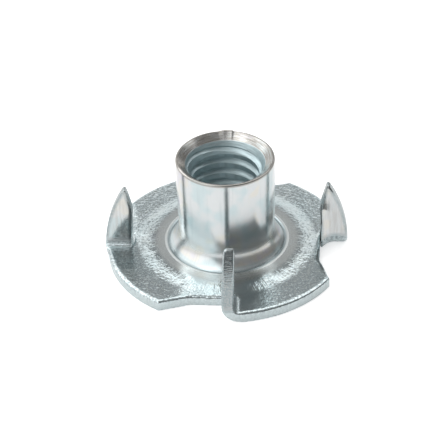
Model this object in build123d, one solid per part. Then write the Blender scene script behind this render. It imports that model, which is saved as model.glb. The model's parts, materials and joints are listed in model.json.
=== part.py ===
"""Four-pronged tee nut for wood: one piece of sheet steel with a drawn barrel and prongs folded up out of its flange.

Millimetres, +Z up along the barrel. The origin is the centre of the flange's underside, on which the nut rests. The
first prong stands over +X, and each prong's notch lies on its clockwise side, seen from above.
"""

import os
from math import pi, radians, tan

from build123d import *

# Sheet and flange
sheet = 0.9
flange_diameter = 19.0
rim_roll = 0.2  # roundness that blanking leaves on the rim's upper edge

# Barrel: a straight collar at its mouth, below which it narrows a little towards its root
height = 8.7
barrel_diameter = 7.7
collar_length = 2.6
barrel_taper = 0.15
lip_round = 0.12
root_radius = 0.9

# Shoulder that drawing leaves round the barrel: a ledge, a steep ring, a flat ring and a wide slope
ledge_width = 0.06
ring_width = 0.32
ring_rise = 0.05
crown_flat = 0.45
crown_width = 1.5
crown_rise = 0.14

# Bore: the minor diameter of a shallow M6 thread, with a countersunk mouth and a funnel under the flange
thread_minor = 5.3
thread_major = 6.1
mouth_land = 0.18
mouth_depth = 0.5
lead_angle = 45
funnel_radius = 1.4

# Prongs: each is the blank of the notch beside it, folded up about a radial line
prong_count = 4
notch_floor = 7.42  # distance of the notch's floor from the axis
notch_straight = 2.6  # how far the floor runs from the fold before it slants out to the rim
notch_slant = 17.4
notch_corner = 1.5
fold_radius = 0.5
tip_radius = 0.18

rim = flange_diameter / 2
bore = thread_minor / 2
lip = barrel_diameter / 2
root = lip - barrel_taper / 2
fold_depth = sheet + fold_radius  # outer radius of the fold, and how far it reaches into the flange

# A point of the flat blank that lies u from the fold's radial line stands u + fold_gain above the underside, because
# the middle of the sheet keeps its length round the fold.
fold_gain = 2 * fold_depth - pi / 2 * (fold_radius + sheet / 2)


def section():
    """Half of the nut's section on XZ, with the radius of each of its corners."""
    ledge = root + root_radius + ledge_width
    flat_end = ledge + ring_width + crown_flat
    slope_end = flat_end + crown_width
    crown = sheet + crown_rise
    lead_top = height - mouth_depth
    lead_bottom = lead_top - (thread_major - thread_minor) / 2 / tan(radians(lead_angle))
    corners = [
        ((bore, 0), funnel_radius),
        ((rim, 0), 0),
        ((rim, sheet), rim_roll),
        ((slope_end, sheet), 0),
        ((flat_end, crown), 0),
        ((ledge + ring_width, crown), 0),
        ((ledge, crown + ring_rise), 0),
        ((root, crown + ring_rise), root_radius),
        ((lip, height - collar_length), 0),
        ((lip, height), lip_round),
        ((lip - mouth_land, height), 0),
        ((thread_major / 2, lead_top), 0),
        ((bore, lead_bottom), 0),
    ]
    with BuildSketch(Plane.XZ) as half:
        with BuildLine():
            FilletPolyline(*[point for point, _ in corners], radius=[r for _, r in corners], close=True)
        make_face()
    return half.sketch


def cut_line(reach):
    """The cut that frees a prong from the flange, from the fold to past the rim, as (radial, along) pairs."""
    return [
        (notch_floor, 0),
        (notch_floor, notch_straight),
        (notch_floor + reach * tan(radians(notch_slant)), notch_straight + reach),
    ]


def notch():
    """The opening that a prong's blank leaves in the flange, with the room that its fold needs."""
    start, knee, end = cut_line(rim)
    with BuildSketch() as opening:
        with BuildLine():
            FilletPolyline(
                (start[0], fold_depth),
                (knee[0], -knee[1]),
                (end[0], -end[1]),
                (2 * rim, -end[1]),
                (2 * rim, fold_depth),
                radius=[0, notch_corner, 0, 0, 0],
                close=True,
            )
        make_face()
    return extrude(opening.sketch, amount=sheet)


def fold():
    """The sheet's edge on YZ, from the flange round the fold and up, extruded out past the rim."""
    top = 2 * rim
    with BuildSketch(Plane.YZ) as edge:
        with BuildLine():
            Line((fold_depth, 0), (fold_depth, sheet))
            RadiusArc((fold_depth, sheet), (sheet, fold_depth), fold_radius)
            Polyline((sheet, fold_depth), (sheet, top), (0, top), (0, fold_depth))
            RadiusArc((0, fold_depth), (fold_depth, 0), -fold_depth)
        make_face()
    return extrude(edge.sketch, amount=2 * rim)


def blade():
    """The prong's outline on XZ: the notch's own outline, as it stands after folding."""
    start, knee, end = cut_line(rim)
    with BuildSketch(Plane.XZ) as outline:
        with BuildLine():
            FilletPolyline(
                (start[0], 0),
                (knee[0], knee[1] + fold_gain),
                (end[0], end[1] + fold_gain),
                (2 * rim, end[1] + fold_gain),
                (2 * rim, 0),
                radius=[0, notch_corner, 0, 0, 0],
                close=True,
            )
        make_face()
        with BuildSketch(Plane.XZ, mode=Mode.INTERSECT):
            with Locations((0, fold_gain)):
                Circle(rim)
            with Locations((0, 0)):
                Rectangle(rim, fold_gain, align=Align.MIN)
        fillet(outline.vertices().sort_by(Axis.Z)[-1], tip_radius)
    return extrude(outline.sketch, amount=-fold_depth)


def prong():
    """One prong over +X, its outer face on the XZ plane."""
    return blade() & fold() & Cylinder(rim, 2 * rim)


def nut():
    body = revolve(section(), Axis.Z)
    for k in range(prong_count):
        turn = Rot(0, 0, 360 * k / prong_count)
        body = body - turn * notch() + turn * prong()
    return body


os.makedirs("parts", exist_ok=True)
tee_nut = nut()
tee_nut.label = "tee_nut"
export_step(tee_nut, "parts/tee_nut.step")
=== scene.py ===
"""Four-pronged tee nut in zinc-plated steel, standing on its flange in a plain white studio.

The nut is modelled in millimetres and brought to metres at the end. The barrel is a spun section with a
tapped thread. The flange is a flat blank that is slit beside each prong, given its thickness and folded.
"""

import json
import math
from types import SimpleNamespace
from typing import NamedTuple

import bmesh
import bpy
import numpy as np
from bpy.props import FloatProperty, FloatVectorProperty, PointerProperty
from mathutils import Matrix, Vector, noise


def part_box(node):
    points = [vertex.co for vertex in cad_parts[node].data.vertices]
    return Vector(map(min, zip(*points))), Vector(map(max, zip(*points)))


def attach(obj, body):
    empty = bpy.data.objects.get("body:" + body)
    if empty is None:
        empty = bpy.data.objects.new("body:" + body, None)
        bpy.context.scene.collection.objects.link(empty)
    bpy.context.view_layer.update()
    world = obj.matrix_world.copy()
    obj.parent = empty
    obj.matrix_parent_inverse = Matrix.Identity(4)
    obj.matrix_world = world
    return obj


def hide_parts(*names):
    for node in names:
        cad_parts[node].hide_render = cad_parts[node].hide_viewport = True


bl_info = {
    "name": "Tee Nut",
    "version": (1, 0, 0),
    "blender": (4, 5, 0),
    "location": "3D View > Sidebar > Tee Nut",
    "description": "Models a zinc-plated tee nut with four prongs and the white studio round it",
    "category": "Add Mesh",
}

MM = 0.001
NUT = "tee_nut"

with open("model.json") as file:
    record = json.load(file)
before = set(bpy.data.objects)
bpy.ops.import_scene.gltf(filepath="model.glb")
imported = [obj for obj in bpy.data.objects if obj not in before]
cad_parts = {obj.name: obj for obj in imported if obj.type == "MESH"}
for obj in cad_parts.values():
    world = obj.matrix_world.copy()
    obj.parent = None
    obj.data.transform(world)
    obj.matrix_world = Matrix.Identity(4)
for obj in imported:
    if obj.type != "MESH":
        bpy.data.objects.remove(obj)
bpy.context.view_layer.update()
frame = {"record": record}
CAD_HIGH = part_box(NUT)[1]
MOUNTS = {mount["name"]: mount for mount in frame["record"]["mounts"]}


def length(name, description, millimetres):
    """A length that a user can change, given in millimetres and kept in metres."""
    units = {"subtype": "DISTANCE", "unit": "LENGTH", "precision": 5}
    return FloatProperty(name=name, description=description, default=millimetres * MM, **units)


def angle(name, description, degrees):
    """An angle that a user can change, given in degrees and kept in radians."""
    units = {"subtype": "ANGLE", "unit": "ROTATION"}
    return FloatProperty(name=name, description=description, default=math.radians(degrees), **units)


def colour(name, description, red, green, blue):
    """A colour that a user can change."""
    limits = {"subtype": "COLOR", "min": 0, "max": 1}
    return FloatVectorProperty(name=name, description=description, default=(red, green, blue), **limits)


class NutSizes(bpy.types.PropertyGroup):
    """Sizes of the nut. Those that the construction gives are read from it."""

    height: length("Height", "From the flange's underside to the barrel's mouth", CAD_HIGH.z / MM)
    rim: length("Rim radius", "Radius of the round blank", CAD_HIGH.x / MM)
    sheet: length("Sheet", "Thickness of the steel sheet", 0.9)
    lip: length("Barrel radius", "Outer radius at the mouth", MOUNTS["barrel"]["dims"]["r_mm"])
    collar: length("Collar", "Straight length at the mouth", 2.6)
    taper: length("Taper", "How much narrower in radius the barrel's foot is", 0.075)
    lip_round: length("Lip roundness", "Radius of the mouth's outer edge", 0.12)
    flare_radius: length("Flare radius", "Radius of the flare round the barrel's foot", 1.75)
    flare_slope: angle("Flare slope", "Slope at which the flare meets the groove round it", 32)
    groove_radius: length("Groove radius", "Radius of the thin groove round the flare", 4.62)
    bore: length("Bore radius", "Minor radius of the thread", MOUNTS["thread"]["dims"]["r_mm"])
    thread_major: length("Thread radius", "Major radius of the thread", 3.05)
    pitch: length("Pitch", "Rise of the thread in one turn", 1.0)
    mouth_land: length("Mouth land", "Width of the flat ring at the mouth", 0.18)
    mouth_depth: length("Mouth depth", "Depth of the countersink", 0.5)
    lead: length("Lead", "Height over which the first turn runs out", 0.95)
    lip_burr: length("Lip burr", "Height of the burr at the back of the mouth", 0.11)
    lip_wave: length("Lip wave", "How far the mouth's edge rises and falls", 0.03)
    lip_sink: length("Lip sink", "How far the mouth's edge lies low on the whole", 0.01)
    funnel: length("Funnel radius", "Radius of the drawn funnel under the flange", 1.4)
    notch_floor: length("Notch floor", "Distance of each notch's floor from the axis", 7.42)
    notch_straight: length("Notch straight", "How far the floor runs before it slants out to the rim", 2.6)
    notch_corner: length("Notch corner", "Radius of the notch's corner", 1.5)
    notch_slant: angle("Notch slant", "Angle of the slanted side", 17.4)
    fold_radius: length("Fold radius", "Inner radius of a prong's fold", 0.5)
    roll_width: length("Roll-over width", "How far in blanking rounds the upper edges", 0.3)
    roll_depth: length("Roll-over depth", "How far down blanking rounds the upper edges", 0.16)
    drag_width: length("Drag width", "How far in shearing drags the flange down at a notch's floor", 0.8)
    drag_depth: length("Drag depth", "How far shearing drags it down", 0.07)
    crown_rise: length("Crown rise", "Height of the flange's inner ring", 0.14)
    crown_edge: length("Crown edge", "Radius at which the inner ring starts to slope down", 5.4)
    slope_end: length("Slope end", "Radius at which the flat outer zone starts", 7.3)
    back_droop: length("Back droop", "How far the rims of the lobes at the back are pressed down", 0.09)
    wrinkle: length("Wrinkle height", "Height of the wrinkles on the slope", 0.006)
    ridge_rise: length("Ridge rise", "Height of the thin ridge round the groove", 0.03)
    ridge_width: length("Ridge width", "From the groove's bottom out to the ridge's top", 0.14)
    ridge_fall: length("Ridge fall", "From the ridge's top out to the flange's inner ring", 0.2)
    groove_depth: length("Groove depth", "Depth of the groove between the flare and the ridge", 0.07)
    web_reach: length("Web reach", "How far past a prong's outer face its slit stays closed", 1.1)
    web_width: length("Web width", "How far out the bulge beside a slit runs", 1.1)
    web_bulge: length("Web bulge", "How far that bulge stands out at its foot", 1.1)
    web_start: length("Web start", "Height over which that bulge sets in", 0.2)
    web_height: length("Web height", "Height at which that bulge has faded out", 3.8)
    turn_start: length("Turn start", "Height over which a prong's turn about its own height sets in", 1.5)
    lean_centre: length("Lean centre", "Height of the point about which a prong leans in", 2.6)
    slit_gap: length("Slit gap", "Half the width to which folding opens a slit's floor", 0.04)
    slit_fade: length("Slit fade", "How far from the slit's floor that opening fades out", 0.4)
    shallow_start: length("Shallow start", "Length over which a notch's shallower half sets in", 1.5)
    shear_start: length("Shear start", "How far from a slit's end its edges are fully rolled over", 1.4)
    burr: length("Burr", "Height of the small bevel on the lower edges", 0.05)
    prong_burr: length("Prong's burr", "Height of that bevel on the prongs' outer faces", 0.12)
    tip_cut: length("Tip cut", "How much shorter than its sharp outline a prong is at its tip", 0.2)
    tip_reach: length("Tip reach", "How far down from its tip a prong's faces are blunted", 1.1)
    tip_blunt: length("Tip bluntness", "How far the outer face is drawn in at the tip", 0.12)
    thread_start: length("Thread start", "Height at which the first groove starts, on the +X side", -0.06)


class FinishLook(bpy.types.PropertyGroup):
    """Colours of the zinc plating, some of which also paint shade."""

    zinc: colour("Zinc", "The plating's own colour", 0.67, 0.695, 0.70)
    blue: colour("Blue cast", "Cast of the thinner plating", 0.575, 0.66, 0.675)
    yellow: colour("Yellow cast", "Cast of the thicker plating", 0.70, 0.69, 0.64)
    violet: colour("Violet cast", "Cast between the two", 0.66, 0.65, 0.69)
    # Bluer plating in the bore, made darker as painted shade of the bore
    thread: colour("Thread", "Duller plating in the bore", 0.53, 0.64, 0.665)
    # Besides the browner turned plating of the countersink, this colour paints shade over the highlight on
    # the lip's outer edge
    mouth: colour("Mouth", "Browner plating on the mouth's turned edge", 0.34, 0.325, 0.30)
    # This colour is both stain and painted shade: darker specks and lines, dirt with painted shade in the
    # groove round the flare, and painted shade in the folds' creases and on the prongs' edges
    stain_and_shade: colour("Stain", "Darker specks and lines in the plating", 0.30, 0.355, 0.37)
    worn: colour("Worn", "Browner plating on cut edges and on the prongs", 0.50, 0.49, 0.47)
    roughness: FloatProperty(
        name="Roughness", description="Roughness of the smooth plating", default=0.13, min=0, max=1
    )


class StudioSizes(bpy.types.PropertyGroup):
    """The camera's place and lens, as the photograph was taken, and the studio's lights."""

    azimuth: angle("Azimuth", "Turn of the camera about the nut's axis, from the front", 3.5433)
    elevation: angle("Elevation", "Height of the camera above the floor", 36.2884)
    roll: angle("Roll", "Turn of the camera about its own axis", -1.5353)
    distance: length("Distance", "From the camera to the point that it looks at", 133.03)
    target_x: length("Target X", "Point on the floor that the camera looks at", -0.41)
    target_y: length("Target Y", "Point on the floor that the camera looks at", 3.17)
    lens: FloatProperty(name="Lens", description="Focal length on a 36 mm wide sensor", default=130.74)
    floor_radius: length("Floor radius", "Radius of the white floor", 3000)
    light_distance: length("Light distance", "Distance of the soft boxes from the nut", 600)


def millimetres(settings):
    """The values of a settings group, with its lengths in millimetres."""
    values = {}
    for name, kind in settings.bl_rna.properties.items():
        if name not in ("rna_type", "name"):
            value = getattr(settings, name)
            values[name] = value / MM if kind.subtype == "DISTANCE" else value
    return SimpleNamespace(**values)


# The blank's grid. Each quarter has columns for a notch and for the lobe beside it. Rings run from the
# barrel over the slope to the notches' floor and on to the rim, and rows run down the wall of each edge.
PRONGS = 4
NOTCH_COLUMNS = 36
LOBE_COLUMNS = 72
QUARTER = NOTCH_COLUMNS + LOBE_COLUMNS
COLUMNS = PRONGS * QUARTER
SLOPE_RINGS = 22
FLOOR_RINGS = 8
LOBE_RINGS = 20
FLOOR_RING = SLOPE_RINGS + FLOOR_RINGS
RINGS = FLOOR_RING + LOBE_RINGS
WALL_ROWS = 6

# How much closer together the grid's lines lie at the start and the end of a stretch
ALONG_NOTCH = (0.85, 0.4)
ALONG_LOBE = (0.3, 0.85)
TO_FLOOR = (0, 0.75)
TO_RIM = (0.8, 0.8)

# Lengths in millimetres
JOIN_RADIUS = 5.2  # where the barrel's section ends and the blank begins
SLOPE_RADIUS = 7.02  # up to where the blank's rings are circles
TAP_SINK = 0.05  # how much nearer to the axis than the bore's surface the tap starts
BACK_FULL = 4  # how far behind the axis the droop of the back is full
MERGE = 5e-4  # how close together vertices are merged

THREAD_STEPS = 108
SMOOTH_ANGLE = math.radians(35)
LIP_BURR = (101, 82)  # azimuths, in degrees, at which the mouth's burr starts and ends in a step
WRINKLES_AROUND = 14  # how fast the slope's wrinkles change round the nut
WRINKLES_OUTWARD = 0.8  # and how fast outwards
SLIT_CLOSED = 0.1  # share of its opening that a slit has where it stays closed
PRONG_ROLL = 0.6  # share of the flange's roll-over that a prong has
INNER_BLUNT = 0.6  # share of a tip's bluntness that its inner face has
TIP_SPREAD = 2.5  # how many times its own length the cut at a tip reaches down the prong
TIP_RUB = 0.35  # share of the distance from its tip that counts as distance from a prong's edge


class Stand(NamedTuple):
    """How one prong stands beside its notch."""

    height: float  # share of the full height
    bulge: float  # share of the full bulge beside the slit
    turn: float  # degrees by which it turns away from its notch
    inward: float  # degrees by which it leans in towards the barrel
    over: float  # degrees by which it leans over its own lobe
    shallow: float  # how much shallower, in millimetres, the far half of its notch is


STANDS = (
    Stand(height=1.0, bulge=1.0, turn=0, inward=3.2, over=0, shallow=0),
    Stand(height=0.97, bulge=0.8, turn=2, inward=1.0, over=1, shallow=0.1),
    Stand(height=1.02, bulge=0.8, turn=0, inward=4.6, over=1, shallow=0.4),
    Stand(height=1.01, bulge=0.25, turn=1, inward=0.5, over=1.5, shallow=0),
)


def spaced(count, start=0.0, end=0.0):
    """count + 1 numbers from 0 to 1, drawn closer together at the start or the end by the shares given."""
    middle = (np.arange(count) + 0.5) / count
    step = 1 - start * np.cos(middle * math.pi / 2) ** 4 - end * np.sin(middle * math.pi / 2) ** 4
    return np.concatenate([[0], np.cumsum(step)]) / step.sum()


def smooth(share):
    """0 below 0, 1 above 1, and smooth between."""
    share = np.clip(share, 0, 1)
    return share * share * (3 - 2 * share)


def unit(vector):
    """The vector's direction, with a length of 1."""
    return vector / np.linalg.norm(vector)


def rounded(corners, step=math.radians(8)):
    """The points of an outline whose corners, given as (x, y, radius), are rounded in even steps."""
    places = [np.array(corner[:2], float) for corner in corners]
    points = []
    for index, (_, _, radius) in enumerate(corners):
        here = places[index]
        if radius == 0:
            points.append(here)
            continue
        back = unit(places[index - 1] - here)
        ahead = unit(places[(index + 1) % len(places)] - here)
        half = math.acos(np.clip(back @ ahead, -1, 1)) / 2
        centre = here + unit(back + ahead) * radius / math.sin(half)
        turn = math.pi - 2 * half
        side = math.copysign(turn, back[1] * ahead[0] - back[0] * ahead[1])
        first = here + back * radius / math.tan(half) - centre
        count = 2 * max(1, round(turn / step / 2))
        points += [centre + turned(first, side * share) for share in np.arange(count + 1) / count]
    return np.array(points)


def along(points, shares):
    """Points of a line at the given shares of its length."""
    reach = np.concatenate([[0], np.cumsum(np.linalg.norm(np.diff(points, axis=0), axis=1))])
    return np.stack([np.interp(shares * reach[-1], reach, points[:, axis]) for axis in (0, 1)], axis=-1)


def turned(points, radians):
    """Points turned about the nut's axis."""
    c, s = math.cos(radians), math.sin(radians)
    return points @ np.array([[c, s], [-s, c]])


def polar(radius, azimuth):
    """Points at the given distances from the nut's axis and azimuths."""
    return np.stack([radius * np.cos(azimuth), radius * np.sin(azimuth)], axis=-1)


def distance_to(line, points):
    """Distance of each point from a line of points."""
    start, end = line[:-1], line[1:]
    step = end - start
    offset = points[..., None, :] - start
    share = np.clip((offset * step).sum(-1) / (step * step).sum(-1), 0, 1)
    return np.linalg.norm(offset - share[..., None] * step, axis=-1).min(-1)


def numbers(elements, name, width, kind=np.float32):
    """One property of all the vertices, edges or faces of a mesh."""
    values = np.empty(len(elements) * width, kind)
    elements.foreach_get(name, values)
    return values.reshape(-1, width)


def vertices(piece):
    """The places of a piece's vertices."""
    return numbers(piece.data.vertices, "co", 3).astype(float)


def place(piece, places):
    """Moves a piece's vertices."""
    piece.data.vertices.foreach_set("co", places.astype(np.float32).ravel())
    piece.data.update()


def write(piece, name, values):
    """Gives each vertex of a piece a number or a vector to carry."""
    kind, field = ("FLOAT", "value") if values.ndim == 1 else ("FLOAT_VECTOR", "vector")
    layer = piece.data.attributes.new(name, kind, "POINT")
    layer.data.foreach_set(field, values.astype(np.float32).ravel())


def choose(piece, kind, chosen):
    """Goes into edit mode on one piece, with only the chosen vertices, edges or polygons selected."""
    bpy.ops.object.select_all(action="DESELECT")
    piece.select_set(True)
    bpy.context.view_layer.objects.active = piece
    bpy.ops.object.mode_set(mode="EDIT")
    bpy.ops.mesh.select_mode(type={"vertices": "VERT", "edges": "EDGE", "polygons": "FACE"}[kind])
    bpy.ops.mesh.select_all(action="DESELECT")
    bpy.ops.object.mode_set(mode="OBJECT")
    getattr(piece.data, kind).foreach_set("select", np.asarray(chosen, bool))
    bpy.ops.object.mode_set(mode="EDIT")


def done():
    """Goes back to object mode."""
    bpy.ops.object.mode_set(mode="OBJECT")


class Quarter:
    """The flat blank of one prong and of the lobe beside it. The prong's fold lies along +X."""

    def __init__(self, size):
        self.size = size
        self.turn = 2 * math.pi / PRONGS
        slant = math.tan(size.notch_slant)
        fold_depth = size.sheet + size.fold_radius
        # The slanted side meets the rim at a reach that solves a * reach**2 + 2 * b * reach + c = 0
        a = 1 + slant**2
        b = size.notch_floor * slant + size.notch_straight
        c = size.notch_floor**2 + size.notch_straight**2 - size.rim**2
        reach = (math.sqrt(b * b - a * c) - b) / a
        self.slit = rounded(
            [
                (size.notch_floor, fold_depth, 0),
                (size.notch_floor, -size.notch_straight, size.notch_corner),
                (size.notch_floor + slant * reach, -size.notch_straight - reach, 0),
            ]
        )
        middle = len(self.slit) // 2
        self.floor = along(self.slit[middle::-1], spaced(NOTCH_COLUMNS, *ALONG_NOTCH))
        self.side = self.slit[middle:]
        self.fold = np.array([self.slit[0], (math.sqrt(size.rim**2 - fold_depth**2), fold_depth)])

    def patch(self, run, inner, start, end, rise):
        """Places that fill the space between a line at the floor, the rim and the two lines beside them."""
        first, last = (math.atan2(*line[-1][::-1]) for line in (start, end))
        outer = polar(self.size.rim, first + (last - first) * run)
        u, v = run[:, None, None], rise[None, :, None]
        corners = (1 - u) * ((1 - v) * inner[0] + v * outer[0]) + u * ((1 - v) * inner[-1] + v * outer[-1])
        return (1 - v) * inner[:, None] + v * outer[:, None] + (1 - u) * start + u * end - corners

    def grid(self):
        """Flat places of the quarter's columns and rings, from the barrel to the rim."""
        rise = spaced(LOBE_RINGS, *TO_RIM)
        fold, side = along(self.fold, rise), along(self.side, rise)
        prong = self.patch(spaced(NOTCH_COLUMNS, *ALONG_NOTCH), self.floor, side, fold, rise)
        run = spaced(LOBE_COLUMNS, *ALONG_LOBE)
        near, far = np.linalg.norm(self.slit[0]), np.linalg.norm(self.floor[0])
        first, last = (math.atan2(y, x) for x, y in (self.slit[0], turned(self.floor[0], self.turn)))
        inner = polar(near + (far - near) * smooth(run), first + (last - first) * run)
        lobe = self.patch(run, inner, fold, turned(side, self.turn), rise)
        outside = np.concatenate([prong[:-1], lobe])
        floor = outside[:, :1]
        azimuth = np.arctan2(floor[..., 1], floor[..., 0])
        circles = polar(np.linspace(JOIN_RADIUS, SLOPE_RADIUS, SLOPE_RINGS + 1), azimuth)
        share = spaced(FLOOR_RINGS, *TO_FLOOR)[1:-1, None]
        between = circles[:, -1:] + (floor - circles[:, -1:]) * share
        return np.concatenate([circles, between, outside], axis=1)


def blank_layout(size):
    """The whole blank by column and ring: flat places, and how far they are from the slits and floors."""
    quarter = Quarter(size)
    grid = quarter.grid()

    def nearest(line):
        distances = np.min([distance_to(turned(line, quarter.turn * k), grid) for k in (0, 1)], axis=0)
        return np.tile(distances[:-1], (PRONGS, 1))

    def all_round(points):
        return np.array([turned(points, quarter.turn * k) for k in range(PRONGS)])

    places = np.concatenate(all_round(grid[:-1]))
    return SimpleNamespace(
        places=places,
        slit=nearest(quarter.slit),
        floor=nearest(quarter.floor),
        azimuths=np.arctan2(places[:, 0, 1], places[:, 0, 0]),
        ends=all_round(quarter.slit[0]),
        tips=all_round(quarter.slit[-1]),
        to_fold=all_round(np.array([0, 1])),
    )


def drawn_line(points, closed):
    """A line of points that stands on the XZ plane, ready to be spun or screwed."""
    bpy.ops.mesh.primitive_circle_add(vertices=len(points))
    line = bpy.context.object
    place(line, np.column_stack([points[:, 0], np.zeros(len(points)), points[:, 1]]))
    if not closed:
        ends = numbers(line.data.edges, "vertices", 2, np.int32)
        choose(line, "edges", np.ptp(ends, axis=1) == len(points) - 1)
        bpy.ops.mesh.delete(type="EDGE")
        done()
    return line


def core_section(size):
    """Closed section of the barrel, its foot and the flange's innermost ring."""
    foot = size.lip - size.taper
    crowned = size.sheet + size.crown_rise
    ridge = crowned + size.ridge_rise
    groove = ridge - size.groove_depth
    flare = groove + (size.groove_radius - foot) * math.tan(size.flare_slope)
    ridge_top = size.groove_radius + size.ridge_width
    seat = size.height - size.mouth_depth
    clear = size.thread_major + 0.04  # just outside the thread, so that its first groove runs out here
    return rounded(
        [
            (JOIN_RADIUS, 0, 0),
            (size.bore, 0, size.funnel),
            (size.bore, seat - size.lead, 0.05),
            (clear, seat, 0.04),
            (size.lip - size.mouth_land, size.height, 0.05),
            (size.lip, size.height, size.lip_round),
            (size.lip, size.height - size.collar, 0),
            (foot, flare, size.flare_radius),
            (size.groove_radius, groove, 0.05),
            (ridge_top, ridge, 0.06),
            (ridge_top + size.ridge_fall, crowned, 0.15),
            (JOIN_RADIUS, crowned, 0),
        ]
    )


def thread_tap(size):
    """The tap that cuts the thread: one pitch of its outline, screwed through the whole bore."""
    flank = math.tan(math.radians(30))
    core = size.bore - TAP_SINK
    rise = (size.thread_major - core) * flank
    flat = size.pitch / 8
    start = (size.pitch - flat) / 2 - rise
    outer = start + rise
    bevel, shift = 0.03, 0.02  # the tap's crests are eased by this much, radially and along the axis
    outline = np.array(
        [
            (core, 0),
            (core, start),
            (size.thread_major - bevel, outer - shift),
            (size.thread_major, outer + bevel),
            (size.thread_major, outer + flat - bevel),
            (size.thread_major - bevel, outer + flat + shift),
            (core, outer + flat + rise),
            (core, size.pitch),
        ]
    )
    turns = math.ceil(size.height / size.pitch) + 3
    outline[:, 1] += size.thread_start + (turns - 2) * size.pitch
    tap = drawn_line(outline, closed=False)
    choose(tap, "vertices", np.ones(len(outline)))
    bpy.ops.mesh.screw(steps=THREAD_STEPS, turns=turns, center=(0, 0, 0), axis=(0, 0, 1))
    bpy.ops.mesh.select_all(action="SELECT")
    bpy.ops.mesh.remove_doubles(threshold=1e-4)
    bpy.ops.mesh.select_all(action="DESELECT")
    bpy.ops.mesh.select_mode(type="EDGE")
    bpy.ops.mesh.select_non_manifold()
    bpy.ops.mesh.fill()
    # The screw tool goes down and turns left, so the tap is mirrored
    bpy.ops.mesh.select_all(action="SELECT")
    bpy.ops.transform.mirror(constraint_axis=(False, True, False), center_override=(0, 0, 0))
    bpy.ops.mesh.normals_make_consistent(inside=False)
    done()
    return tap


def cut_away(piece, tool):
    """Cuts one closed piece out of another."""
    cut = piece.modifiers.new("cut", "BOOLEAN")
    cut.operation = "DIFFERENCE"
    cut.solver = "MANIFOLD"
    cut.object = tool
    bpy.context.view_layer.objects.active = piece
    bpy.ops.object.modifier_apply(modifier=cut.name)
    bpy.data.objects.remove(tool)


def uneven_lip(size, radius, azimuth, height):
    """How far trimming has raised the barrel's vertices: the mouth's edge is uneven and has a burr."""
    near_top = np.clip((height - size.height) / 0.25 + 1, 0, 1)
    near_rim = np.clip((radius - size.lip) / 0.5 + 1, 0, 1)
    start, step = (math.radians(degrees) for degrees in LIP_BURR)
    burr = np.clip((start - azimuth) / 0.12, 0, 1) * np.clip((azimuth - step) / 0.02, 0, 1)
    wave = fractal(np.column_stack([polar(2.5, azimuth), radius * 2]), seed=2)
    return near_top * near_rim * (burr * size.lip_burr + wave * size.lip_wave - size.lip_sink)


def make_core(size, layout):
    """The barrel with its thread, open where the flange's blank joins it."""
    core = drawn_line(core_section(size), closed=True)
    choose(core, "vertices", np.ones(len(core.data.vertices)))
    bpy.ops.mesh.spin(
        steps=COLUMNS, angle=2 * math.pi, use_auto_merge=True, center=(0, 0, 0), axis=(0, 0, 1)
    )
    bpy.ops.mesh.select_all(action="SELECT")
    bpy.ops.mesh.normals_make_consistent(inside=False)
    done()

    x, y, height = vertices(core).T
    radius = np.hypot(x, y)
    column = np.round(np.arctan2(y, x) / (2 * math.pi) * COLUMNS).astype(int) % COLUMNS
    azimuth = layout.azimuths[column]
    height = height + uneven_lip(size, radius, azimuth, height)
    place(core, np.column_stack([polar(radius, azimuth), height]))
    cut_away(core, thread_tap(size))

    at_join = np.hypot(*vertices(core)[:, :2].T) > JOIN_RADIUS - 1e-3
    choose(core, "polygons", [all(at_join[list(face.vertices)]) for face in core.data.polygons])
    bpy.ops.mesh.delete(type="FACE")
    done()
    places = vertices(core)
    write(core, "sheet", places)
    write(core, "cut", np.zeros(len(places)))
    write(core, "edge", np.ones(len(places)))
    return core


def blank_grid():
    """The blank's grid of columns and rings, slit round each prong, with its wall's rows below it."""
    bpy.ops.mesh.primitive_grid_add(x_subdivisions=COLUMNS, y_subdivisions=RINGS, size=2)
    blank = bpy.context.object
    place(blank, np.round((vertices(blank) + 1) / 2 * [COLUMNS, RINGS, 0]))

    places = vertices(blank)
    ends = places[numbers(blank.data.edges, "vertices", 2, np.int32)]
    beside = ends.mean(1)[:, 0] % QUARTER
    level = ends[:, :, 1]
    on_floor = (level == FLOOR_RING).all(1) & (beside < NOTCH_COLUMNS)
    on_side = (beside == 0) & (level.mean(1) > FLOOR_RING) & (np.ptp(ends[:, :, 0], axis=1) == 0)
    choose(blank, "edges", on_floor | on_side)
    bpy.ops.mesh.edge_split(type="EDGE")
    done()

    corners = numbers(blank.data.polygons, "center", 3)
    in_prong = (corners[:, 0] % QUARTER < NOTCH_COLUMNS) & (corners[:, 1] > FLOOR_RING)
    loops = numbers(blank.data.loops, "vertex_index", 1, np.int32).reshape(-1, 4)
    prong = np.zeros(len(blank.data.vertices))
    prong[loops[in_prong].ravel()] = 1
    write(blank, "prong", prong)
    choose(blank, "polygons", np.ones(len(loops)))
    for _ in range(WALL_ROWS):
        bpy.ops.mesh.extrude_region_move(TRANSFORM_OT_translate={"value": (0, 0, -1)})
    done()

    loops = numbers(blank.data.loops, "vertex_index", 1, np.int32).reshape(-1, 4)
    corners = vertices(blank)[loops]
    in_hole = (corners[..., 1] < 0.5).all(1)
    ends_meet = (np.abs(corners[..., 0] - COLUMNS / 2) > COLUMNS / 2 - 0.5).all(1)
    choose(blank, "polygons", in_hole | (ends_meet & (corners[..., 1].mean(1) < FLOOR_RING)))
    bpy.ops.mesh.delete(type="FACE")
    done()
    return blank


def fractal(points, seed, octaves=3):
    """Smooth seeded noise about 0 at each point."""
    shift = Vector((seed * 7.3, seed * 3.1, seed * 5.7))
    return np.array([noise.fractal(Vector(point) + shift, 1.0, 2.0, octaves) for point in points])


def each_prong(flat):
    """For each prong, its turn, the blank's vertices near it, and their places with its fold along +X."""
    for k in range(PRONGS):
        turn = 2 * math.pi / PRONGS * k
        local = turned(flat, -turn)
        near = (local[:, 0] > np.abs(local[:, 1])) & (local[:, 0] > JOIN_RADIUS)
        yield turn, near, local[near]


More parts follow.
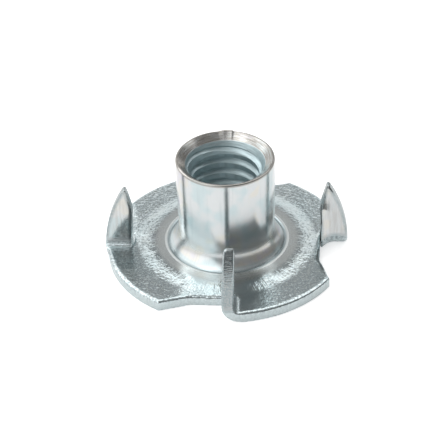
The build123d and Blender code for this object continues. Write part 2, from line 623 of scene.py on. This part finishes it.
def folded(size, flat, height, prong):
    """Places of the blank's vertices after the prongs are folded up about their radial lines."""
    places = np.column_stack([flat, height])
    depth = size.sheet + size.fold_radius
    neutral = size.fold_radius + size.sheet / 2
    for (quarter, near, local), stand in zip(each_prong(flat), STANDS):
        tilts = (stand.turn, stand.inward, stand.over)
        turn, inward, over = (math.tan(math.radians(tilt)) for tilt in tilts)
        mine = prong[near]
        out, before = local[mine].T
        thick = height[near][mine]

        # Round the fold, the middle of the sheet keeps its length
        past = depth - before
        bend = np.clip(past / neutral, 0, math.pi / 2)
        beyond = np.maximum(past - neutral * math.pi / 2, 0) * stand.height
        across = depth - (depth - thick) * np.sin(bend)
        up = depth - (depth - thick) * np.cos(bend) + beyond

        # The bulge beside the slit
        outside = np.clip(1 - thick / size.sheet, 0, 1)
        beside = np.clip(1 - (out - size.notch_floor) / size.web_width, 0, 1)
        rise = smooth(up / size.web_start) * np.clip(1 - up / size.web_height, 0, 1)
        across -= stand.bulge * size.web_bulge * beside**2 * outside * rise

        # The prong's own turn and leans
        straight = np.maximum(up - depth, 0)
        across += (size.rim - out) * turn * smooth(straight / size.turn_start) + straight * over
        outward = out - (up - size.lean_centre) * inward * smooth(up / size.sheet)
        stood = turned(np.column_stack([outward, across]), quarter)
        places[np.flatnonzero(near)[mine]] = np.column_stack([stood, up])
    return places


def opened(size, flat, floor, prong):
    """The blank's flat places with some notches a little shallower and each slit a little open."""
    flat = flat.copy()
    for (quarter, near, local), stand in zip(each_prong(flat), STANDS):
        flange = ~prong[near]
        far = stand.shallow * smooth(-local[:, 1] / size.shallow_start) * flange
        local[:, 0] += far * np.clip(1 - floor[near] / size.shallow_start, 0, 1)
        reach = smooth((-size.web_reach - local[:, 1]) / size.slit_fade)
        reach = SLIT_CLOSED + (1 - SLIT_CLOSED) * reach
        reach *= np.clip(1 - floor[near] / size.slit_fade, 0, 1)
        local[:, 0] += size.slit_gap * reach * np.where(flange, -1, 1)
        flat[near] = turned(local, quarter)
    return flat


def crown(size, radius):
    """Height of the flange's upper side above its flat outer zone."""
    return size.crown_rise * smooth((size.slope_end - radius) / (size.slope_end - size.crown_edge))


def blank_spots(size, layout, blank):
    """What the blank's shape depends on at each of its vertices."""
    index = np.round(vertices(blank)).astype(int)
    column, ring, row = index[:, 0] % COLUMNS, index[:, 1], -index[:, 2]
    quarter = column // QUARTER
    prong = numbers(blank.data.attributes["prong"].data, "value", 1)[:, 0] > 0.5
    flat = layout.places[column, ring]
    radius = np.linalg.norm(flat, axis=1)
    from_end = np.linalg.norm(flat - layout.ends[quarter], axis=1)
    from_tip = np.linalg.norm(flat - layout.tips[quarter], axis=1)
    return SimpleNamespace(
        prong=prong,
        flat=flat,
        radius=radius,
        floor=layout.floor[column, ring],
        edge=np.maximum(np.minimum(size.rim - radius, layout.slit[column, ring]), 0),
        sheared=smooth(from_end / size.shear_start),
        from_tip=from_tip,
        blunt=np.where(prong, np.clip(1 - from_tip / size.tip_reach, 0, 1) ** 2, 0),
        to_fold=layout.to_fold[quarter],
        down=row / WALL_ROWS,
        in_wall=(row > 0) & (row < WALL_ROWS),
        in_seam=(index[:, 0] % COLUMNS == 0) & (ring <= FLOOR_RING) & ~prong,
    )


def upper_side(size, at):
    """Height of the blank's upper side: crowned, rolled over at its edges, dragged down and wrinkled."""
    roll = 1 - np.sqrt(1 - np.clip(1 - at.edge / size.roll_width, 0, 1) ** 2)
    roll *= size.roll_depth * at.sheared * np.where(at.prong, PRONG_ROLL, 1)
    drag = np.where(at.prong, 0, np.clip(1 - at.floor / size.drag_width, 0, 1) ** 2)
    drag *= size.drag_depth * at.sheared
    behind = smooth(at.flat[:, 1] / BACK_FULL) * ~at.prong
    outward = np.clip((at.radius - size.crown_edge) / (size.rim - size.crown_edge), 0, 1)
    droop = size.back_droop * behind * outward**1.5
    on_slope = np.clip((at.radius - size.crown_edge) / 0.3, 0, 1)
    on_slope *= np.clip((size.slope_end + 0.1 - at.radius) / 0.2, 0, 1)
    outwards = at.flat / at.radius[:, None]
    swirl = np.column_stack([outwards * WRINKLES_AROUND, at.radius * WRINKLES_OUTWARD])
    wrinkles = size.wrinkle * on_slope * fractal(swirl, seed=1)
    flattened = at.blunt * size.tip_blunt * INNER_BLUNT
    return size.sheet + crown(size, at.radius) - roll - drag - droop + wrinkles - flattened


def lower_side(size, at):
    """Height of the blank's lower side: bevelled a little at its edges and blunted at the tips."""
    burr = np.where(at.prong, size.prong_burr, size.burr)
    return burr * np.clip(1 - at.edge / burr, 0, 1) + at.blunt * size.tip_blunt


def make_blank(size, layout):
    """The flange and its prongs: the blank with its thickness, rolled edges and wrinkles, folded."""
    blank = blank_grid()
    at = blank_spots(size, layout, blank)
    top, bottom = upper_side(size, at), lower_side(size, at)
    height = top + (bottom - top) * at.down
    flat = opened(size, at.flat, at.floor, at.prong)
    near_tip = np.clip(1 - at.from_tip / (TIP_SPREAD * size.tip_cut), 0, 1) ** 2
    shortened = near_tip * size.tip_cut * at.prong
    flat += shortened[:, None] * at.to_fold
    place(blank, folded(size, flat, height, at.prong))
    write(blank, "sheet", np.column_stack([flat, height]))
    write(blank, "cut", at.in_wall.astype(float))
    write(blank, "edge", np.where(at.prong, np.minimum(at.edge, at.from_tip * TIP_RUB), 1))
    choose(blank, "vertices", at.in_seam)
    bpy.ops.mesh.remove_doubles(threshold=MERGE)
    done()
    return blank


def joined(core, blank):
    """The barrel and the blank as one closed piece, in metres."""
    bpy.ops.object.select_all(action="DESELECT")
    core.select_set(True)
    blank.select_set(True)
    bpy.context.view_layer.objects.active = core
    bpy.ops.object.join()
    nut = bpy.context.object
    radius = np.hypot(*vertices(nut)[:, :2].T)
    choose(nut, "vertices", np.abs(radius - JOIN_RADIUS) < 1e-2)
    bpy.ops.mesh.remove_doubles(threshold=MERGE)
    bpy.ops.mesh.select_all(action="SELECT")
    bpy.ops.mesh.normals_make_consistent(inside=False)
    done()
    nut.data.transform(Matrix.Scale(MM, 4))
    bpy.ops.object.shade_smooth_by_angle(angle=SMOOTH_ANGLE)
    return nut


def is_closed(piece):
    """Whether each edge of a piece lies between two faces."""
    surface = bmesh.new()
    surface.from_mesh(piece.data)
    closed = all(edge.is_manifold for edge in surface.edges)
    surface.free()
    return closed


class NutBuilder(bpy.types.Operator):
    """Model the tee nut as one closed piece of folded sheet with a drawn and tapped barrel"""

    bl_idname = "tee_nut.build"
    bl_label = "Build Tee Nut"

    def execute(self, context):
        size = millimetres(context.scene.tee_nut_sizes)
        layout = blank_layout(size)
        nut = joined(make_core(size, layout), make_blank(size, layout))
        nut.name = nut.data.name = "zinc_tee_nut"
        if not is_closed(nut):
            raise RuntimeError("the nut's surface is not closed")
        nut.data.materials.clear()
        nut.data.materials.append(zinc_plate(size, context.scene.tee_nut_finish))
        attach(nut, "root")
        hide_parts(NUT)
        return {"FINISHED"}


class Value:
    """A socket of a shader's nodes that takes part in Python expressions."""

    def __init__(self, nodes, socket):
        self.nodes, self.socket = nodes, socket

    def math(self, operation, first, second):
        return self.nodes.add("ShaderNodeMath", {"operation": operation}, [first, second])

    def __add__(self, other):
        return self.math("ADD", self, other)

    def __sub__(self, other):
        return self.math("SUBTRACT", self, other)

    def __rsub__(self, other):
        return self.math("SUBTRACT", other, self)

    def __mul__(self, other):
        return self.math("MULTIPLY", self, other)

    def __truediv__(self, other):
        return self.math("DIVIDE", self, other)

    def __rtruediv__(self, other):
        return self.math("DIVIDE", other, self)

    def __pow__(self, other):
        return self.math("POWER", self, other)

    __radd__, __rmul__ = __add__, __mul__

    def between(self, low, high):
        """0 below low, 1 above high, and smooth between."""
        inputs = {"Value": self, "From Min": low, "From Max": high}
        return self.nodes.add("ShaderNodeMapRange", {"interpolation_type": "SMOOTHSTEP"}, inputs)


class Nodes:
    """The nodes of a material or of the world."""

    def __init__(self, owner):
        owner.use_nodes = True
        self.tree = owner.node_tree
        self.tree.nodes.clear()

    def add(self, kind, settings=None, inputs=None, output=0):
        """Adds a node with its settings and inputs. Gives back one output, or a list of several."""
        node = self.tree.nodes.new(kind)
        for name, setting in (settings or {}).items():
            setattr(node, name, setting)
        pairs = inputs.items() if isinstance(inputs, dict) else enumerate(inputs or [])
        for name, value in pairs:
            if isinstance(value, Value):
                self.tree.links.new(value.socket, node.inputs[name])
            else:
                node.inputs[name].default_value = value
        if not node.outputs:
            return None
        if isinstance(output, tuple):
            return [Value(self, node.outputs[name]) for name in output]
        return Value(self, node.outputs[output])

    def scaled(self, vector, factor):
        return self.add("ShaderNodeVectorMath", {"operation": "SCALE"}, {"Vector": vector, "Scale": factor})

    def combined(self, x, y, z):
        return self.add("ShaderNodeCombineXYZ", {}, [x, y, z])

    def parts(self, vector):
        """The three numbers of a vector."""
        return self.add("ShaderNodeSeparateXYZ", {}, [vector], output=("X", "Y", "Z"))

    def noise(self, vector, scale, detail=2.0):
        """Noise about 0.5, whose waves are about 1 / scale long."""
        inputs = {"Vector": vector, "Scale": scale, "Detail": detail, "Roughness": 0.5}
        return self.add("ShaderNodeTexNoise", {}, inputs)

    def mixed(self, share, first, second):
        """A colour between two."""
        return self.add("ShaderNodeMix", {"data_type": "RGBA"}, {0: share, 6: first, 7: second}, output=2)

    def ramp(self, share, stops):
        """A colour from stops given as (position, colour)."""
        value = self.add("ShaderNodeValToRGB", {}, [share])
        elements = value.socket.node.color_ramp.elements
        while len(elements) < len(stops):
            elements.new(1)
        for element, (position, tint) in zip(elements, stops):
            element.position, element.color = position, tint
        return value


def opaque(tint):
    """A colour with full alpha."""
    return (*tint, 1.0)


def surface_spot(nodes):
    """Where the shader is on the nut, in millimetres: as the nut stands, and on its flat blank."""
    here = nodes.scaled(nodes.add("ShaderNodeTexCoord", output="Object"), 1 / MM)
    x, y, up = nodes.parts(here)
    sheet = nodes.add("ShaderNodeAttribute", {"attribute_name": "sheet"}, output="Vector")
    flat_x, flat_y, depth = nodes.parts(sheet)
    radius = (flat_x * flat_x + flat_y * flat_y) ** 0.5
    outward_x, outward_y, _ = nodes.parts(nodes.scaled(nodes.combined(flat_x, flat_y, 0.0), 1 / radius))
    return SimpleNamespace(
        here=here,
        x=x,
        y=y,
        up=up,
        from_axis=(x * x + y * y) ** 0.5,
        sheet=sheet,
        flat_x=flat_x,
        flat_y=flat_y,
        depth=depth,
        radius=radius,
        outward_x=outward_x,
        outward_y=outward_y,
    )


def surface_zones(nodes, spot, size):
    """The share, from 0 to 1, that each kind of surface has here, with soft blends between them."""
    from_axis, radius = spot.from_axis, spot.radius
    from_land = from_axis - (size.lip - size.mouth_land)
    from_groove = radius - size.groove_radius
    from_crown = radius - size.crown_edge
    from_floor = from_axis - size.notch_floor
    above = spot.up - size.sheet
    bore = 1 - from_axis.between(size.thread_major + 0.03, size.thread_major + 0.11)
    drawn = 1 - from_groove.between(-0.22, -0.02)
    on_flange = 1 - above.between(0.3, 0.45)
    outer = radius.between(size.slope_end - 0.5, size.slope_end)
    folding = above.between(0.05, 0.2) * (1 - above.between(0.5, 0.8))
    low = 1 - above.between(size.sheet, 3 * size.sheet)
    edge = nodes.add("ShaderNodeAttribute", {"attribute_name": "edge"}, output="Fac")
    return SimpleNamespace(
        bore=bore,
        mouth=(1 - bore) * (1 - from_land.between(-0.01, 0.05)),
        # The lip's rounded outer edge at the mouth, darkened in plating_tint with painted shade over its
        # highlight
        lip=(spot.up - size.height).between(-0.25, -0.15) * from_land.between(-0.03, 0.03),
        drawn=drawn * (1 - bore),
        foot=low * (1 - from_groove.between(0.08, 0.38)) * (1 - bore),
        # Groove round the flare, darkened in plating_tint with dirt and painted shade
        groove=(1 - drawn) * (1 - from_groove.between(0.06, 0.23)) * on_flange,
        inner=from_groove.between(0, 0.18) * (1 - from_crown.between(0, 0.6)),
        slope=from_crown.between(-0.2, 1) * (1 - outer) * on_flange,
        outer=outer * on_flange,
        on_flange=on_flange,
        back=spot.flat_y.between(0, 3.5),
        # Crease at the foot of each fold, darkened in plating_tint with painted shade
        crease=folding * from_floor.between(-0.22, -0.02),
        prong=above.between(0.3, 0.9) * from_floor.between(-1.22, -0.82),
        # Near the prongs' blanked edges, where plating_tint paints shade
        prong_edge=1 - edge.between(0.05, 0.35),
        cut=nodes.add("ShaderNodeAttribute", {"attribute_name": "cut"}, output="Fac"),
    )


def surface_grain(nodes, spot):
    """The noises that the relief and the colours share."""

    def around(pace, third):
        """A place for noise that changes at one pace round the nut, and with a third number."""
        return nodes.combined(spot.outward_x * pace, spot.outward_y * pace, third)

    return SimpleNamespace(
        wrinkles=nodes.noise(around(50, spot.radius * 1.2 + 9), 1.0, 1.0),
        crinkles=nodes.noise(spot.sheet, 4.0, 1.0),
        pebbles=nodes.noise(spot.sheet, 9.0, 1.0),
        specks=nodes.noise(spot.sheet, 5.5),
        dents=nodes.noise(spot.sheet, 0.7, 1.0),
        rings=nodes.noise(nodes.combined(0.0, 0.0, spot.radius), 16.0),
        draw_lines=nodes.noise(around(40, spot.depth * 0.25), 1.0),
        turning=nodes.noise(around(3, spot.from_axis * 22), 1.0),
        shear=nodes.noise(nodes.combined(spot.flat_x, spot.flat_y, spot.depth * 0.12), 11.0),
        scratches=nodes.noise(nodes.combined(spot.x * 5, spot.y * 5, spot.up * 0.5), 1.0),
        cast=nodes.noise(spot.here, 0.45),
    )


def surface_relief(zone, grain):
    """Height of the fine relief that pressing and shearing leave, in millimetres."""
    return (
        zone.slope * (grain.wrinkles * 0.019 + grain.crinkles * 0.016 + grain.pebbles * 0.004)
        + zone.outer * (1 - 0.7 * zone.cut) * (grain.crinkles * 0.018 + grain.pebbles * 0.006)
        + (zone.slope + zone.outer) * (zone.back * grain.crinkles * 0.014 + grain.dents * 0.03)
        + zone.inner * grain.rings * 0.0015
        + zone.drawn * grain.draw_lines * 0.0006
        + zone.cut * grain.shear * 0.02
        + zone.prong * grain.scratches * 0.004
    )


def plating_tint(nodes, look, zone, grain):
    """Colour of the plating: a faint cast all over, under what each zone adds, including painted shade in
    the groove, the creases, on the prongs' edges, on the lip and in the bore.
    """
    stops = (
        (0.36, look.blue),
        (0.46, look.zinc),
        (0.54, look.zinc),
        (0.60, look.yellow),
        (0.70, look.violet),
    )
    sheared = zone.cut * (0.35 + (0.15 + 0.5 * zone.prong) * grain.shear.between(0.4, 0.6))
    scratched = zone.prong * (0.15 + 0.35 * grain.scratches.between(0.4, 0.65))
    # Painted shade on the prongs' edges, darker in blotches
    painted_edge_shade = zone.prong * zone.prong_edge * (0.55 + 0.4 * grain.pebbles.between(0.4, 0.6))
    turned_mouth = zone.mouth * (0.45 + 0.5 * grain.turning.between(0.4, 0.6))
    stains_and_crease_shade = (
        # Painted shade in the folds' creases; the other terms are stains and marks
        zone.crease * 0.35
        + zone.drawn * 0.14 * grain.draw_lines.between(0.5, 0.7)
        + zone.bore * 0.3 * grain.turning.between(0.42, 0.6)
        + zone.outer * (0.7 - 0.5 * zone.cut) * grain.specks.between(0.42, 0.62)
        + zone.slope * 0.12 * grain.wrinkles.between(0.45, 0.65)
    )
    coats = (
        # Bluer plating in the bore, darkened with painted shade
        (zone.bore, look.thread),
        (sheared + scratched, look.worn),
        (painted_edge_shade, look.stain_and_shade),
        (zone.on_flange * 0.8, look.blue),
        (zone.inner * 0.45, look.worn),
        # Dirt and painted shade in the groove round the flare
        (zone.groove * 0.85, look.stain_and_shade),
        # Browner turned plating in the countersink, and painted shade over the lip's highlight
        (turned_mouth + zone.lip * 0.85, look.mouth),
        (stains_and_crease_shade, look.stain_and_shade),
    )
    tint = nodes.ramp(grain.cast, [(position, opaque(colour)) for position, colour in stops])
    for share, coat in coats:
        tint = nodes.mixed(share, tint, opaque(coat))
    return tint


def plating_roughness(look, zone, grain):
    """Roughness of the plating: glossy where it is drawn, duller in the bore, the folds and the foot."""
    return (
        look.roughness
        + zone.crease * 0.25
        + zone.outer * (1 - zone.cut) * (0.02 + 0.1 * grain.specks.between(0.4, 0.6))
        + zone.cut * 0.10
        + zone.inner * 0.12
        + zone.drawn * 0.04
        + zone.foot * 0.11
        + zone.bore * (0.3 + 0.15 * grain.turning.between(0.35, 0.65))
        + zone.mouth * 0.07
    )


def zinc_plate(size, look):
    """Bright zinc plating over drawn, blanked and folded steel."""
    material = bpy.data.materials.new("zinc plate")
    nodes = Nodes(material)
    spot = surface_spot(nodes)
    zone = surface_zones(nodes, spot, size)
    grain = surface_grain(nodes, spot)
    relief = {"Strength": 1.0, "Distance": MM, "Height": surface_relief(zone, grain)}
    finish = {
        "Base Color": plating_tint(nodes, look, zone, grain),
        "Metallic": 1.0,
        "Roughness": plating_roughness(look, zone, grain),
        "Normal": nodes.add("ShaderNodeBump", {}, relief, output="Normal"),
    }
    surface = nodes.add("ShaderNodeBsdfPrincipled", {}, finish)
    nodes.add("ShaderNodeOutputMaterial", {}, {"Surface": surface})
    return material


def white_floor():
    """White studio floor with a soft shadow: plain white to the camera, greyer in reflections."""
    material = bpy.data.materials.new("white floor")
    nodes = Nodes(material)
    rays = ("Is Camera Ray", "Is Glossy Ray", "Is Transmission Ray")
    camera, glossy, transmitted = nodes.add("ShaderNodeLightPath", output=rays)
    seen = camera + 0.5 * glossy + transmitted
    white = nodes.add("ShaderNodeBsdfDiffuse", {}, {"Color": (0.8, 0.8, 0.8, 1)})
    glow = nodes.add("ShaderNodeEmission", {}, {"Color": (1, 1, 1, 1), "Strength": 0.6})
    bright = nodes.add("ShaderNodeAddShader", {}, [white, glow])
    surface = nodes.add("ShaderNodeMixShader", {}, [seen, white, bright])
    nodes.add("ShaderNodeOutputMaterial", {}, {"Surface": surface})
    return material


def studio_air():
    """The room's soft grey light: brighter overhead and at the back, with a dark strip between."""
    world = bpy.data.worlds.new("studio")
    bpy.context.scene.world = world
    nodes = Nodes(world)
    direction = nodes.add("ShaderNodeTexCoord", output="Generated")
    x, y, z = nodes.parts(direction)
    # The strip is dark and stands high up in the bright wall. The flange's flat mirrors it.
    side = x + 0.05
    strip = z.between(0.5, 0.56) * (1 - (side * side).between(0.012, 0.04))
    wall = y.between(0.2, 0.45) * (1 - z.between(0.68, 0.74)) * (1 - x.between(0.42, 0.58))
    level = 0.24 + 0.15 * z.between(0.75, 0.95) + 0.8 * wall * (1 - strip)
    glow = nodes.add("ShaderNodeBackground", {}, {"Color": level, "Strength": 1.0})
    nodes.add("ShaderNodeOutputWorld", {}, {"Surface": glow})


class SoftBox(NamedTuple):
    """A rectangular lamp turned to the nut. All its angles are in degrees, as seen from the nut."""

    azimuth: float  # from the front
    elevation: float
    width: float
    height: float
    brightness: float  # where 1 is white


SOFT_BOXES = {
    "left": SoftBox(azimuth=-72, elevation=34, width=90, height=62, brightness=1.25),
    "over": SoftBox(azimuth=-40, elevation=62, width=34, height=24, brightness=1.25),
    "back": SoftBox(azimuth=178, elevation=63, width=90, height=34, brightness=1.35),
}


def direction_to(azimuth, elevation):
    """Direction from the nut to a place at the given azimuth from the front and elevation, in radians."""
    level = math.cos(elevation)
    return Vector((math.sin(azimuth) * level, -math.cos(azimuth) * level, math.sin(elevation)))


class StudioBuilder(bpy.types.Operator):
    """Set up the white floor, the soft boxes, the room's light and the camera"""

    bl_idname = "tee_nut.studio"
    bl_label = "Build Studio"

    def execute(self, context):
        studio = millimetres(context.scene.tee_nut_studio)
        bpy.ops.object.select_all(action="DESELECT")
        bpy.ops.mesh.primitive_circle_add(vertices=96, radius=studio.floor_radius * MM, fill_type="NGON")
        floor = context.object
        floor.name = floor.data.name = "floor"
        floor.data.materials.append(white_floor())
        studio_air()
        for name, box in SOFT_BOXES.items():
            self.soft_box(name, studio.light_distance * MM, box)
        self.camera(context, studio)
        return {"FINISHED"}

    @staticmethod
    def soft_box(name, distance, box):
        """Hangs one soft box at a distance from the nut."""
        back = direction_to(math.radians(box.azimuth), math.radians(box.elevation))
        lamp = bpy.data.lights.new(name, "AREA")
        lamp.shape = "RECTANGLE"
        lamp.size = 2 * distance * math.tan(math.radians(box.width) / 2)
        lamp.size_y = 2 * distance * math.tan(math.radians(box.height) / 2)
        lamp.energy = box.brightness * math.pi * lamp.size * lamp.size_y
        lit = bpy.data.objects.new(name, lamp)
        lit.location = back * distance
        lit.rotation_euler = back.to_track_quat("Z", "Y").to_euler()
        bpy.context.scene.collection.objects.link(lit)

    @staticmethod
    def camera(context, studio):
        """The camera, placed and rolled as the photograph was taken."""
        back = direction_to(studio.azimuth, studio.elevation)
        level = Vector((math.cos(studio.azimuth), math.sin(studio.azimuth), 0))
        upright = back.cross(level)
        right = math.cos(studio.roll) * level + math.sin(studio.roll) * upright
        up = math.cos(studio.roll) * upright - math.sin(studio.roll) * level
        camera = bpy.data.cameras.new("camera")
        camera.sensor_width, camera.lens = 36, studio.lens
        camera.clip_start, camera.clip_end = 1 * MM, 10
        eye = bpy.data.objects.new("camera", camera)
        target = Vector((studio.target_x, studio.target_y, 0))
        axes = Matrix((right, up, back)).transposed().to_4x4()
        eye.matrix_world = Matrix.Translation((target + back * studio.distance) * MM) @ axes
        context.scene.collection.objects.link(eye)
        context.scene.camera = eye


class NutPanel(bpy.types.Panel):
    """Lists the tee nut's sizes, colours and studio, and the buttons that build them"""

    bl_idname = "VIEW3D_PT_tee_nut"
    bl_label = "Tee Nut"
    bl_space_type = "VIEW_3D"
    bl_region_type = "UI"
    bl_category = "Tee Nut"

    def draw(self, context):
        scene = context.scene
        for settings, button in (
            (scene.tee_nut_sizes, None),
            (scene.tee_nut_finish, NutBuilder.bl_idname),
            (scene.tee_nut_studio, StudioBuilder.bl_idname),
        ):
            column = self.layout.column()
            for name in settings.bl_rna.properties.keys():
                if name not in ("rna_type", "name"):
                    column.prop(settings, name)
            if button:
                column.operator(button)


GROUPS = {"tee_nut_sizes": NutSizes, "tee_nut_finish": FinishLook, "tee_nut_studio": StudioSizes}
CLASSES = (*GROUPS.values(), NutBuilder, StudioBuilder, NutPanel)


def register():
    for kind in CLASSES:
        bpy.utils.register_class(kind)
    for name, group in GROUPS.items():
        setattr(bpy.types.Scene, name, PointerProperty(type=group))


def unregister():
    for name in GROUPS:
        delattr(bpy.types.Scene, name)
    for kind in reversed(CLASSES):
        bpy.utils.unregister_class(kind)


def main():
    register()
    bpy.ops.tee_nut.build()
    bpy.ops.tee_nut.studio()
    bpy.context.scene.view_settings.view_transform = "Standard"


if __name__ == "__main__":
    main()
